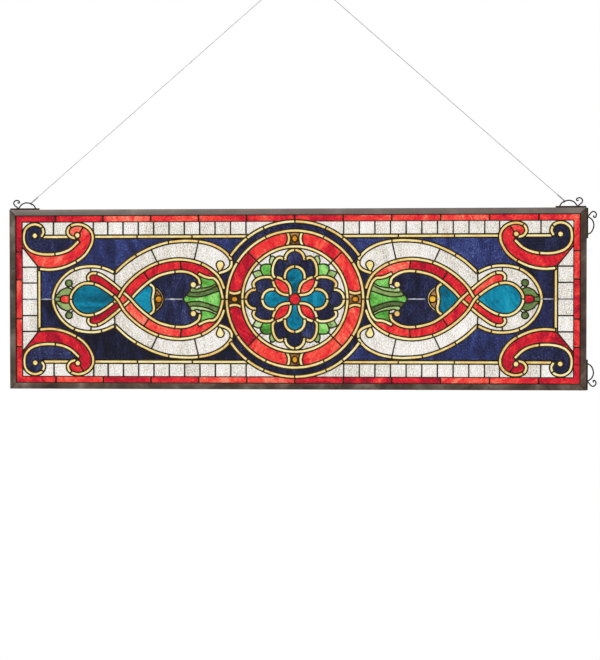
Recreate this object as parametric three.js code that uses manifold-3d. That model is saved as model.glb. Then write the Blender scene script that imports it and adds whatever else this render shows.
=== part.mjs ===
import * as THREE from 'three';
import Module from 'manifold-3d';

const wasm = await Module();
wasm.setup();
const { Manifold } = wasm;

// Panel sizes in millimetres, the front facing -Y, the hanging point at the origin
const panelWidth = 914;
const panelHeight = 286;
const hangDrop = 529;
const hangOffset = 5;
const seatGap = 0.3;

// Channel frame around the glass
const frameFace = 9.4;
const frameDepth = 8;
const channelDepth = 5;

// Glass and leading
const glassThickness = 3;
const leadHeight = 5;
const strapWidth = 7.4;
const leadWidth = 2;
const borderStrip = 10.5;
const chordError = 0.6;
const leastPane = 10;

// Bent wire hangers
const hangerWire = 2.2;
const hangerSides = 6;
const hangerSteps = 22;
const hangerBase = 48;
const hangerEnd = 14;
const hangerArch = 10.8;
const hangerSpan = 31;
const hangerPeak = 12.5;
const curlRadius = 5.3;
const curlHeight = 10.6;
const cornerToHanger = 14.4;

// Hanging ring and wires
const ringHole = 14;
const ringWire = 2;
const wireThickness = 1;
const wireSides = 8;
const wireSteps = 20;

// The medallion: its outer ring just clears the field's edge, then the bands inside it
const medallionGap = 0.3;
const navyBand = 14.5;
const redBand = 25;
const lobeGap = 5.6;
const jewelRadius = 9.6;
const gemRadius = 6.4;
const gemSeat = 0.6;
const capDistance = 9.1;
const capBulge = 4.6;

// How near the side ornament comes to the field's end and top edge and to the middle ring
const voluteEndGap = 2.93;
const voluteTopGap = 3.5;
const leafGap = 6.47;

const halfWidth = panelWidth / 2;
const halfHeight = panelHeight / 2;
const sightWidth = halfWidth - frameFace;
const sightHeight = halfHeight - frameFace;
const fieldWidth = sightWidth - borderStrip;
const fieldHeight = sightHeight - borderStrip;
const slabWidth = sightWidth + channelDepth - seatGap;
const slabHeight = sightHeight + channelDepth - seatGap;
const outerRing = fieldHeight - medallionGap;
const middleRing = outerRing - navyBand;
const innerRing = middleRing - redBand;

const colours = {
  frame: [0x4a4038, 0.55, 0.85],
  strapwork: [0xe8c878, 0.4, 0.1],
  red: [0xc81e2c, 0.12, 0],
  white: [0xf0eee6, 0.25, 0],
  navy: [0x1c2460, 0.15, 0],
  blue: [0x22307c, 0.15, 0],
  teal: [0x0a7c90, 0.12, 0],
  green: [0x68b04a, 0.15, 0],
  wire: [0x8c8c8c, 0.35, 0.9],
};

const panel = new THREE.Group();
panel.name = 'stained_glass_window';

// Turns a three.js geometry into a solid for joining and cutting, and back
function solid(geometry) {
  const plain = geometry.clone();
  plain.deleteAttribute('normal');
  plain.deleteAttribute('uv');
  const merged = mergeByPlace(plain);
  return new Manifold(new wasm.Mesh({ numProp: 3, vertProperties: merged.places, triVerts: merged.corners }));
}

function mergeByPlace(geometry) {
  const source = geometry.getAttribute('position');
  const order = geometry.index ? Array.from(geometry.index.array) : [...Array(source.count).keys()];
  const known = new Map();
  const places = [];
  const lookup = order.map((at) => {
    const point = [source.getX(at), source.getY(at), source.getZ(at)].map((v) => Math.round(v * 1e4) / 1e4);
    const key = point.join(' ');
    if (!known.has(key)) {
      known.set(key, places.length / 3);
      places.push(...point);
    }
    return known.get(key);
  });
  const corners = [];
  for (let i = 0; i < lookup.length; i += 3) {
    const [a, b, c] = lookup.slice(i, i + 3);
    if (a !== b && b !== c && a !== c) corners.push(a, b, c);
  }
  return { places: new Float32Array(places), corners: new Uint32Array(corners) };
}

function geometryOf(body) {
  const mesh = body.getMesh();
  const geometry = new THREE.BufferGeometry();
  const places = new Float32Array(mesh.numVert * 3);
  for (let i = 0; i < mesh.numVert; i += 1) {
    for (let k = 0; k < 3; k += 1) places[i * 3 + k] = mesh.vertProperties[i * mesh.numProp + k];
  }
  geometry.setAttribute('position', new THREE.BufferAttribute(places, 3));
  geometry.setIndex(new THREE.BufferAttribute(new Uint32Array(mesh.triVerts), 1));
  geometry.computeVertexNormals();
  return geometry;
}

function addNode(name, geometry, [color, roughness, metalness], place) {
  const mesh = new THREE.Mesh(geometry, new THREE.MeshStandardMaterial({ color, roughness, metalness }));
  mesh.name = name;
  mesh.applyMatrix4(place);
  panel.add(mesh);
}

// The panel is drawn flat in X and Y, stood up with its face to the front and hung below the origin
const stand = new THREE.Matrix4().makeTranslation(-hangOffset, 0, -hangDrop);
stand.multiply(new THREE.Matrix4().makeRotationX(Math.PI / 2));

function spline(points) {
  const through = points.map((p) => new THREE.Vector3(p.x, p.y, 0));
  const curve = new THREE.CatmullRomCurve3(through, false, 'centripetal');
  return thinned(curve.getPoints(points.length * 12).map((p) => new THREE.Vector2(p.x, p.y)));
}

function arc(middle, radius, from, to) {
  const steps = Math.max(6, Math.ceil(Math.abs(to - from) / 0.03));
  const points = [];
  for (let i = 0; i <= steps; i += 1) {
    const angle = from + ((to - from) * i) / steps;
    points.push(new THREE.Vector2(middle.x + radius * Math.cos(angle), middle.y + radius * Math.sin(angle)));
  }
  return thinned(points);
}

// Drops the points that a straight run keeps within the chord error
function thinned(points) {
  const first = points[0];
  const last = points[points.length - 1];
  const along = last.clone().sub(first);
  const length = along.length();
  let worst = 0;
  let at = 0;
  for (let i = 1; i < points.length - 1; i += 1) {
    const off = points[i].clone().sub(first);
    const away = length > 0 ? Math.abs(along.x * off.y - along.y * off.x) / length : off.length();
    if (away > worst) [worst, at] = [away, i];
  }
  if (worst <= chordError) return [first, last];
  return [...thinned(points.slice(0, at + 1)).slice(0, -1), ...thinned(points.slice(at))];
}

function slabOf(shape, height) {
  const geometry = new THREE.ExtrudeGeometry(shape, { depth: height, bevelEnabled: false });
  geometry.translate(0, 0, -height / 2);
  return solid(geometry);
}

// A bar of one width along a line of points, mitred at its corners and square at its ends
function bar(points, width, height) {
  const left = [];
  const right = [];
  points.forEach((point, i) => {
    const before = points[i - 1] ?? point.clone().multiplyScalar(2).sub(points[i + 1]);
    const after = points[i + 1] ?? point.clone().multiplyScalar(2).sub(points[i - 1]);
    const a = point.clone().sub(before).normalize();
    const b = after.clone().sub(point).normalize();
    const way = a.clone().add(b).normalize();
    const side = new THREE.Vector2(-way.y, way.x).multiplyScalar(width / 2 / a.dot(way));
    left.push(point.clone().add(side));
    right.unshift(point.clone().sub(side));
  });
  return slabOf(new THREE.Shape([...left, ...right]), height);
}

function disc(middle, radius, height) {
  return slabOf(new THREE.Shape(arc(middle, radius, 0, Math.PI * 2).slice(1)), height);
}

function hoop(radius, width, height) {
  const turn = Math.PI * 2;
  const steps = Math.ceil(turn / Math.acos(1 - chordError / (radius + width / 2)) / 2);
  const ring = (r) => Array.from({ length: steps }, (_, i) =>
    new THREE.Vector2(r * Math.cos((turn * i) / steps), r * Math.sin((turn * i) / steps)));
  const shape = new THREE.Shape(ring(radius + width / 2));
  shape.holes.push(new THREE.Path(ring(radius - width / 2)));
  return slabOf(shape, height);
}

// Gold strapwork of one quarter of the side fields, out from the middle and up
const rowHeight = 23.6;
const stripEnds = [402, 358, 322];
const columnTop = 52;
const leftVolute = [[403, 99], [399.2, 107.4], [403, 116], [412, 119.6], [421, 117.8], [428, 111.4],
  [430.4, 101.3], [429, 89.1], [421, 78.7], [407, 73], [389, 71.6], [371, 73.8], [356, 80.4], [342.5, 93.1]];
const rightVolute = [[347.5, 97.2], [356, 99.7], [360.5, 106.4], [358.5, 114], [351, 118.6], [340, 119.2],
  [329, 114.5], [321.7, 105.3], [320.7, 94.1], [326, 80.4], [336, 67.7], [350, 58.2], [367, 50.9],
  [387, 47.3], [406, 48.5]];
const columnOut = rightVolute[rightVolute.length - 1][0];
const smallLoop = [[384.2, -0.5], [382.5, 10.7], [377.5, 22.4], [369, 34.1], [356, 44.8], [342, 50.4],
  [327, 52.5], [312, 51.8], [299, 48.3], [285.5, 42]];
const bigLoop = [[285.5, 42], [267, 59], [252, 69.4], [237, 77.6], [219, 85.2], [201, 90.2], [182, 92.3],
  [164, 92.6], [147, 90.8], [132, 87], [117, 79.6], [107, 71.2], [101.2, 62.1], [100.9, 53.9],
  [104.5, 48.3], [111, 44.3], [121.5, 41]];
const dropEdge = [[355.5, -0.5], [355.5, 4.6], [352, 12.2], [345, 19.8], [336, 24.6], [326, 25.5],
  [315, 23.2], [305, 18.1], [295, 11.2], [282, 0]];
const ribbonFoot = dropEdge[5];
const ribbonCap = [ribbonFoot, [326.5, 29], [328, 35.1], [324, 40.4], [316, 41.4], [307, 38.2],
  [297, 31.6], [287, 23.9], [277, 15.3], [260, 0]];
const ringEdge = [[282, 0], [270.5, 18.3], [262, 28], [250, 38.7], [237, 47.8], [222, 55.5], [205, 60.6],
  [187, 63.1], [172, 62.3], [158, 59.5], [145, 54.7], [133, 47.3], [123, 38.2], [116.5, 28], [112, 15.8]];
const fieldEdge = [[260, 0], [252, 9.2], [242, 18.8], [230, 28.5], [217, 36.6], [203, 41.2], [187, 44],
  [173, 43.5], [161, 39.2], [152.5, 32.1], [150.5, 22.9]];
const leafEdge = [[153.5, 41], [143, 35.8], [136, 33.9], [129, 33.3], [123, 28], [119, 19.3],
  [116.2, 9.7], [114.7, -0.5]];
const bracketTop = fieldEdge[3];
const bracket = [bracketTop, [229, 23.6], [225, 20.4], [223.4, 14.2], [224.7, 6.6], [225.5, -0.5]];
const hook = [[150.5, 22.9], [152.5, 19.8], [157, 19.2], [161, 22.5]];

// Round ends of the scrolls, each with its middle and radius
const cornerEye = [413, 101.6];
const cornerEyeRadius = 4.9;
const sideEye = [345, 102];
const sideEyeRadius = 4.8;
const teardrop = [118.5, 54];
const teardropRadius = 5.9;
const hookEye = [161, 23];
const hookEyeRadius = 4.7;
const eyes = [[cornerEye, cornerEyeRadius], [sideEye, sideEyeRadius], [teardrop, teardropRadius],
  [hookEye, hookEyeRadius]];
const teardropTail = [teardrop, [120, 43]];
const straps = [leftVolute, rightVolute, smallLoop, bigLoop, ribbonCap, dropEdge, ringEdge, fieldEdge,
  leafEdge, bracket, hook, teardropTail];

// Plain lead lines: the palmette's front, then the joints that close each pane
const palmetteFront = [[177, -0.5], [174, 4.6], [169.5, 9.7], [162, 22]];
const sideEyeJoint = [leftVolute[leftVolute.length - 1], sideEye];
const cornerEyeJoint = [cornerEye, leftVolute[0]];
const loopJoint = [smallLoop[smallLoop.length - 1], [286, 26]];
const scrollJoint = [[350, 58], [345, 49]];
const columnJoint = [[columnOut, 49], [434.5, 85.5]];
const leadLines = [palmetteFront, sideEyeJoint, cornerEyeJoint, loopJoint, scrollJoint, columnJoint];

// A point inside each pane of the side fields
const rowPoint = [200, 111];
const lensPoint = [385, 85];
const scrollPoint = [385, 60];
const bluePoint = [300, 75];
const bandPoint = [230, 66];
const ribbonPoint = [200, 51];
const columnPoint = [420, 0];
const endPoint = [395, 20];
const dropPoint = [320, 0];
const heartPoint = [238, 0];
const navyPoint = [200, 20];
const palmettePoint = [135, 10];

// Strapwork of one eighth of the medallion, out along one arm
const lensEdge = [[35.5, 32], [33.5, 24], [30, 17], [25, 11], [19, 7.9], [13, 7.2], [8.5, 8.5]];
const lobe = { reach: 62.7, radius: 15, turn: 1.7 };
const lobeFoot = [lobe.reach + lobe.radius * Math.cos(lobe.turn), lobe.radius * Math.sin(lobe.turn)];
const sideLobe = [lobeFoot, [62.5, 16.5], [65.4, 22], [65, 26], [60.5, 30.8], [53, 34], [46, 35],
  [38.5, 34.5], [33.5, 31]];
const petal = { reach: 36, radius: 15.7, turn: 1.85 };
const ringFoot = (bigLoop[11][1] + bigLoop[12][1]) / 2;

// The ornament is drawn once and stretched to fit between the rings and the field's edges
const drawnEnd = Math.max(...leftVolute.map(([out]) => out));
const drawnTop = Math.max(...leftVolute.map(([, up]) => up));
const drawnStart = Math.min(...leafEdge.map(([out]) => out));
const leafStart = middleRing + leafGap;
const sideStretch = (fieldWidth - voluteEndGap - leafStart) / (drawnEnd - drawnStart);
const heightStretch = (fieldHeight - voluteTopGap) / drawnTop;
const stripLevel = fieldHeight - rowHeight;
const roundStretch = (innerRing - lobeGap) / (lobe.reach + lobe.radius);

// A point of the side fields, out from the middle and up, in one of the four quarters
function spot([out, up], [sx, sy]) {
  const stretched = leafStart + (out - drawnStart) * sideStretch;
  return new THREE.Vector2(sx * stretched, sy * up * heightStretch);
}

// A point of the flower inside the medallion's inner ring
function petalSpot([out, up], [sx, sy]) {
  return new THREE.Vector2(sx * out * roundStretch, sy * up * roundStretch);
}

const quarters = [[-1, 1], [1, 1], [-1, -1], [1, -1]];
const quarterNames = ['top_left', 'top_right', 'bottom_left', 'bottom_right'];
const centre = new THREE.Vector2(0, 0);
const inQuarter = (point, [sx, sy]) => new THREE.Vector2(sx * point.x, sy * point.y);
const swapped = (point) => new THREE.Vector2(point.y, point.x);

// The strapwork and lead of one quarter of the side fields and border
function fieldBars(quarter, strap, lead, height) {
  const place = (points) => points.map((point) => spot(point, quarter));
  const pieces = straps.map((points) => bar(spline(place(points)), strap, height));
  pieces.push(...leadLines.map((points) => bar(spline(place(points)), lead, height)));
  const [outside, between, inside] = stripEnds;
  const onStrip = (out) => inQuarter(new THREE.Vector2(spot([out, 0], [1, 1]).x, stripLevel), quarter);
  pieces.push(bar([onStrip(outside), onStrip(between)], strap, height));
  pieces.push(bar(place([[columnOut, columnTop], [columnOut, -0.5]]), strap, height));
  const ringOut = Math.sqrt(outerRing ** 2 - stripLevel ** 2);
  const meeting = inQuarter(new THREE.Vector2(ringOut, stripLevel), quarter);
  pieces.push(bar([onStrip(inside), meeting], strap, height));
  const corner = new THREE.Vector2(fieldWidth, fieldHeight);
  const ends = [new THREE.Vector2(-lead, fieldHeight), new THREE.Vector2(fieldWidth, -lead)];
  pieces.push(bar([ends[0], corner, ends[1]].map((p) => inQuarter(p, quarter)), lead, height));
  return pieces;
}

// The strapwork of one quarter of the medallion, each line also swapped about the diagonal
function medallionBars(quarter, strap, height) {
  const foot = Math.asin((ringFoot * heightStretch) / outerRing);
  const rim = arc(centre, outerRing, foot, Math.PI / 2 + 0.02);
  const place = (points) => points.map((point) => petalSpot(point, [1, 1]));
  const flower = [spline(place(sideLobe)), spline(place(lensEdge))];
  [lobe, petal].forEach(({ reach, radius, turn }) => {
    const middle = new THREE.Vector2(reach * roundStretch, 0);
    flower.push(arc(middle, radius * roundStretch, -0.02, turn));
  });
  const cap = [-1, -0.5, 0, 0.5, 1].map((t) =>
    new THREE.Vector2(innerRing + (redBand * (1 + t)) / 2, capDistance + capBulge * t * t));
  flower.push(spline(cap));
  const runs = [rim, ...flower, ...flower.map((run) => run.map(swapped))];
  return runs.map((run) => bar(run.map((point) => inQuarter(point, quarter)), strap, height));
}

// The gem sits against the inner side of its bracket
function gemMiddle(side) {
  const seat = spot(bracket[bracket.length - 1], [side, 1]);
  return new THREE.Vector2(seat.x - side * (strapWidth / 2 + gemRadius - gemSeat), 0);
}

// All the strapwork and leading as one body of bars, each side wider by the given growth
function leading(growth, height) {
  const strap = strapWidth + growth * 2;
  const lead = leadWidth + growth * 2;
  const pieces = [hoop(middleRing, strap, height), hoop(innerRing, strap, height)];
  quarters.forEach((quarter) => {
    pieces.push(...fieldBars(quarter, strap, lead, height), ...medallionBars(quarter, strap, height));
    eyes.forEach(([eye, radius]) => pieces.push(disc(spot(eye, quarter), radius + growth, height)));
  });
  pieces.push(disc(centre, jewelRadius + growth, height));
  [-1, 1].forEach((side) => pieces.push(disc(gemMiddle(side), gemRadius + growth, height)));
  return Manifold.union(pieces);
}

function plate(width, height, thickness) {
  return solid(new THREE.BoxGeometry(width * 2, height * 2, thickness));
}

// Where each pane of coloured glass lies: its name, its glass and a point inside it
const panes = [];
const addPane = (name, glass, point) => panes.push({ name, glass, point });
const quarterPanes = [['white_row', 'white', rowPoint], ['navy_lens', 'navy', lensPoint],
  ['red_scroll', 'red', scrollPoint], ['blue_field', 'blue', bluePoint], ['white_band', 'white', bandPoint],
  ['red_ribbon', 'red', ribbonPoint]];
const sidePanes = [['white_column', 'white', columnPoint], ['blue_end', 'blue', endPoint],
  ['teal_drop', 'teal', dropPoint], ['teal_heart', 'teal', heartPoint], ['navy_field', 'navy', navyPoint],
  ['green_palmette', 'green', palmettePoint]];
quarters.forEach((quarter, i) => {
  const at = quarterNames[i];
  quarterPanes.forEach(([name, glass, point]) => addPane(`${name}_${at}`, glass, spot(point, quarter)));
  const slanted = (innerRing + redBand / 2) * Math.SQRT1_2;
  addPane(`red_arc_${at}`, 'red', inQuarter(new THREE.Vector2(slanted, slanted), quarter));
});
[['left', -1], ['right', 1]].forEach(([side, sign]) => {
  sidePanes.forEach(([name, glass, at]) => addPane(`${name}_${side}`, glass, spot(at, [sign, 1])));
  addPane(`navy_lobe_${side}`, 'navy', petalSpot([lobe.reach, 0], [sign, 1]));
});
[['bottom', -1], ['top', 1]].forEach(([side, sign]) => {
  addPane(`navy_ring_${side}`, 'navy', new THREE.Vector2(0, sign * (middleRing + navyBand / 2)));
  addPane(`navy_lobe_${side}`, 'navy', petalSpot([0, lobe.reach], [1, sign]));
});
addPane('red_border', 'red', new THREE.Vector2(0, sightHeight - 1));

// The body of a decomposed slab whose top face holds a point
function bodyAt(bodies, point) {
  return bodies.find(({ mesh }) => {
    for (let i = 0; i < mesh.triVerts.length; i += 3) {
      const [a, b, c] = [0, 1, 2].map((k) => {
        const at = mesh.triVerts[i + k] * mesh.numProp;
        return mesh.vertProperties.slice(at, at + 3);
      });
      if (a[2] > 0 && b[2] > 0 && c[2] > 0 && inside(point, a, b, c)) return true;
    }
    return false;
  });
}

function inside(point, a, b, c) {
  const turn = (p, q) => (q[0] - p[0]) * (point.y - p[1]) - (q[1] - p[1]) * (point.x - p[0]);
  const turns = [turn(a, b), turn(b, c), turn(c, a)];
  return turns.every((t) => t >= 0) || turns.every((t) => t <= 0);
}

// The bodies that a plate falls into where bars cut it, without the slivers between near lines
function cellsOf(whole, bars) {
  const bodies = whole.subtract(bars).decompose().filter((body) => body.volume() > leastPane);
  return bodies.map((body) => ({ body, mesh: body.getMesh() }));
}

const cutDepth = leadHeight + glassThickness;
const openings = cellsOf(plate(halfWidth, halfHeight, cutDepth), leading(0, cutDepth * 2));
const cells = cellsOf(plate(slabWidth, slabHeight, glassThickness), leading(seatGap, cutDepth));
panes.forEach(({ name, glass, point }) => {
  addNode(name, geometryOf(bodyAt(cells, point).body), colours[glass], stand);
});
const paneOpenings = Manifold.union(panes.map(({ point }) => bodyAt(openings, point).body));
const lattice = plate(slabWidth, slabHeight, leadHeight).subtract(paneOpenings);
addNode('strapwork_and_leading', geometryOf(lattice), colours.strapwork, stand);

// Mitred rails of the frame, each a channel that holds the edge of the glass
function rail(length, name, turn, away) {
  const profile = new THREE.Shape();
  const half = frameDepth / 2;
  const lip = glassThickness / 2 + seatGap;
  const back = channelDepth;
  profile.moveTo(0, -half);
  profile.lineTo(frameFace, -half);
  profile.lineTo(frameFace, half);
  profile.lineTo(0, half);
  profile.lineTo(0, lip);
  profile.lineTo(back, lip);
  profile.lineTo(back, -lip);
  profile.lineTo(0, -lip);
  const geometry = new THREE.ExtrudeGeometry(profile, { depth: length, bevelEnabled: false });
  geometry.translate(-frameFace, 0, -length / 2);
  geometry.rotateX(-Math.PI / 2);
  const end = length / 2 - seatGap;
  const corners = [[0, end], [0, -end], [-end, 0]];
  const cutter = new THREE.Shape(corners.map(([x, y]) => new THREE.Vector2(x, y)));
  const cut = new THREE.ExtrudeGeometry(cutter, { depth: frameDepth * 2, bevelEnabled: false });
  cut.translate(0, 0, -frameDepth);
  const body = solid(geometry).intersect(solid(cut));
  const place = stand.clone().multiply(new THREE.Matrix4().makeRotationZ(turn));
  place.multiply(new THREE.Matrix4().makeTranslation(away, 0, 0));
  addNode(`frame_${name}`, geometryOf(body), colours.frame, place);
}

rail(panelHeight, 'right', 0, halfWidth);
rail(panelWidth, 'top', Math.PI / 2, halfHeight);
rail(panelHeight, 'left', Math.PI, halfWidth);
rail(panelWidth, 'bottom', -Math.PI / 2, halfHeight);

// A round wire along a smooth line through points
function wireAlong(points, thickness, sides, steps) {
  const through = points.map(([x, y, z = 0]) => new THREE.Vector3(x, y, z));
  const curve = new THREE.CatmullRomCurve3(through, false, 'centripetal');
  const frames = curve.computeFrenetFrames(steps, false);
  const rings = [];
  for (let i = 0; i <= steps; i += 1) {
    const centre = curve.getPointAt(i / steps);
    rings.push(Array.from({ length: sides }, (_, k) => {
      const angle = (Math.PI * 2 * k) / sides;
      return centre.clone()
        .addScaledVector(frames.normals[i], (Math.cos(angle) * thickness) / 2)
        .addScaledVector(frames.binormals[i], (Math.sin(angle) * thickness) / 2);
    }));
  }
  const vertices = rings.flat().flatMap((p) => [p.x, p.y, p.z]);
  const ends = [curve.getPointAt(0), curve.getPointAt(1)];
  ends.forEach((p) => vertices.push(p.x, p.y, p.z));
  const index = [];
  const firstCap = rings.length * sides;
  for (let i = 0; i < steps; i += 1) {
    for (let k = 0; k < sides; k += 1) {
      const a = i * sides + k;
      const b = i * sides + ((k + 1) % sides);
      index.push(a, b, a + sides, b, b + sides, a + sides);
    }
  }
  for (let k = 0; k < sides; k += 1) {
    index.push(firstCap, (k + 1) % sides, k);
    index.push(firstCap + 1, steps * sides + k, steps * sides + ((k + 1) % sides));
  }
  const geometry = new THREE.BufferGeometry();
  geometry.setAttribute('position', new THREE.BufferAttribute(new Float32Array(vertices), 3));
  geometry.setIndex(index);
  return geometry;
}

// One hanger lies along an edge: x runs towards the corner, y away from the panel
const hangerRise = hangerWire / 2 + seatGap;
const archRise = hangerArch - hangerRise;
const shoulder = [-hangerSpan * 0.66, hangerRise + archRise * 0.85];

function hangerBody() {
  const rise = hangerRise;
  const base = wireAlong([[hangerEnd - hangerBase, rise], [hangerEnd, rise]], hangerWire, hangerSides, 2);
  const scroll = [[-hangerSpan, rise + 0.2], [-hangerSpan * 0.89, rise + archRise * 0.42], shoulder,
    [-hangerPeak, hangerArch], [-hangerPeak * 0.4, rise + archRise * 0.78],
    [-hangerPeak * 0.08, rise + archRise * 0.26], [curlRadius * 0.16, rise + 0.3]];
  for (let turn = -1.35; turn < 2.8; turn += 0.75) {
    scroll.push([curlRadius * (0.5 + Math.cos(turn)), curlHeight + curlRadius * Math.sin(turn)]);
  }
  return solid(base).add(solid(wireAlong(scroll, hangerWire, hangerSides, hangerSteps)));
}

const hanger = geometryOf(hangerBody());
const hangerOut = halfWidth - cornerToHanger;
const hangerUp = halfHeight - cornerToHanger;
const mirrorX = new THREE.Matrix4().makeScale(-1, 1, 1);
const onSide = new THREE.Matrix4().makeRotationZ(-Math.PI / 2);
const placed = (x, y) => stand.clone().multiply(new THREE.Matrix4().makeTranslation(x, y, 0));
const upperSide = placed(halfWidth, hangerUp).multiply(onSide).multiply(mirrorX);
addNode('hanger_top_right', hanger, colours.wire, placed(hangerOut, halfHeight));
addNode('hanger_top_left', hanger, colours.wire, placed(-hangerOut, halfHeight).multiply(mirrorX));
addNode('hanger_side_upper', hanger, colours.wire, upperSide);
addNode('hanger_side_lower', hanger, colours.wire, placed(halfWidth, -hangerUp).multiply(onSide));

// The ring at the top, its hole touching the origin from below
const ringMiddle = ringHole / 2;
const ring = new THREE.TorusGeometry(ringMiddle + ringWire / 2, ringWire / 2, 6, 24);
ring.rotateX(Math.PI / 2);
addNode('hanging_ring', ring, colours.wire, new THREE.Matrix4().makeTranslation(0, 0, -ringMiddle));

// Two straight wires from the shoulders of the top hangers to the ring
const ringCentre = new THREE.Vector3(0, 0, -ringMiddle);
const footRise = halfHeight - hangDrop + shoulder[1] + hangerWire / 2 + seatGap;
[['left', -1], ['right', 1]].forEach(([name, side]) => {
  const foot = new THREE.Vector3(side * (hangerOut + shoulder[0]) - hangOffset, 0, footRise);
  const way = ringCentre.clone().sub(foot).normalize();
  const head = ringCentre.clone().addScaledVector(way, -(ringMiddle + ringWire + seatGap));
  foot.addScaledVector(way, wireThickness / 2 + seatGap);
  const wire = wireAlong([foot.toArray(), head.toArray()], wireThickness, wireSides, wireSteps);
  addNode(`hanging_wire_${name}`, wire, colours.wire, new THREE.Matrix4());
});

export default panel;
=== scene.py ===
import math
import random

import bpy
import numpy as np
from mathutils import Matrix, Vector, noise
from mathutils.bvhtree import BVHTree
from mathutils.geometry import delaunay_2d_cdt

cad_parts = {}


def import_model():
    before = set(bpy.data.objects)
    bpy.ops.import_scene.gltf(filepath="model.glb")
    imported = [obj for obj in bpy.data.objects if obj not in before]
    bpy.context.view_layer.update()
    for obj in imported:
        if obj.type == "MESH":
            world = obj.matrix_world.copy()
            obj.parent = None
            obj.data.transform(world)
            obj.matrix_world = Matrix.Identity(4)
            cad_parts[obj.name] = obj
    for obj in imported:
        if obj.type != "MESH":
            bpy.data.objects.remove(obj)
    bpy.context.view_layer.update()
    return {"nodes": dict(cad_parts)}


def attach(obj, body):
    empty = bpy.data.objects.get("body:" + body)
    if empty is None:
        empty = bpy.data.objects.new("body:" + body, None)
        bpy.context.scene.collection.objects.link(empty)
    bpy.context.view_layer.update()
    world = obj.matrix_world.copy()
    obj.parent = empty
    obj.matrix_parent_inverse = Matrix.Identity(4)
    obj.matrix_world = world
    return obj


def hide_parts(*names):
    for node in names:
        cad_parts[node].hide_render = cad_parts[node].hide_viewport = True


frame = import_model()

random.seed(7)

# Panel sizes in millimetres, as in the part's source
MM = 0.001
PANEL_WIDTH = 914
PANEL_HEIGHT = 286
HANG_DROP = 529
HANG_OFFSET = 5
FRAME_FACE = 9.4
FRAME_DEPTH = 8
CHANNEL_DEPTH = 5
BORDER_STRIP = 10.5
INNER_RING = 83.3
MIDDLE_RING = 108.3
OUTER_RING = 122.8
DRAWN_FIELD_WIDTH = 433.3
HALF_WIDTH = PANEL_WIDTH / 2
HALF_HEIGHT = PANEL_HEIGHT / 2
SIGHT_WIDTH = HALF_WIDTH - FRAME_FACE
SIGHT_HEIGHT = HALF_HEIGHT - FRAME_FACE
FIELD_WIDTH = SIGHT_WIDTH - BORDER_STRIP
FIELD_HEIGHT = SIGHT_HEIGHT - BORDER_STRIP
SLAB_WIDTH = SIGHT_WIDTH + CHANNEL_DEPTH - 0.4
SLAB_HEIGHT = SIGHT_HEIGHT + CHANNEL_DEPTH - 0.4
SIDE_STRETCH = (FIELD_WIDTH - MIDDLE_RING) / (DRAWN_FIELD_WIDTH - MIDDLE_RING)

# Glass and solder sizes
GLASS_HALF = 1.5
STRAP_HALF = 2.75
BEAD_HALF = 1.2
BORDER_BEAD_HALF = 0.8
BEAD_RISE = 1.0


def world(x, y, z=0.0):
    """A point drawn flat on the panel, x right, y up and z to the back, in the row frame."""
    return Vector(((x - HANG_OFFSET) * MM, z * MM, (y - HANG_DROP) * MM))


# Camera at the photograph's angle
CAMERA_PLACE = Vector((0.1992, -2.689, -0.5194))
CAMERA_YAW = -0.07276
CAMERA_PITCH = -0.02166
CAMERA_ROLL = -0.0008
CAMERA_LENS = 92.975

camera_data = bpy.data.cameras.new("camera")
camera = bpy.data.objects.new("camera", camera_data)
bpy.context.scene.collection.objects.link(camera)
bpy.context.scene.camera = camera
camera_data.sensor_width = 36
camera_data.lens = CAMERA_LENS
camera.location = CAMERA_PLACE
ahead = Vector((math.sin(CAMERA_YAW) * math.cos(CAMERA_PITCH),
                math.cos(CAMERA_YAW) * math.cos(CAMERA_PITCH), math.sin(CAMERA_PITCH)))
turned = ahead.to_track_quat("-Z", "Y").to_matrix().to_4x4()
camera.matrix_world = Matrix.Translation(CAMERA_PLACE) @ turned @ Matrix.Rotation(CAMERA_ROLL, 4, "Z")


# Node material helpers

def linear(r, g, b):
    """An sRGB colour of 0 to 255 as a linear one."""
    def one(v):
        v /= 255
        return v / 12.92 if v <= 0.04045 else ((v + 0.055) / 1.055) ** 2.4
    return (one(r), one(g), one(b), 1.0)


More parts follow.
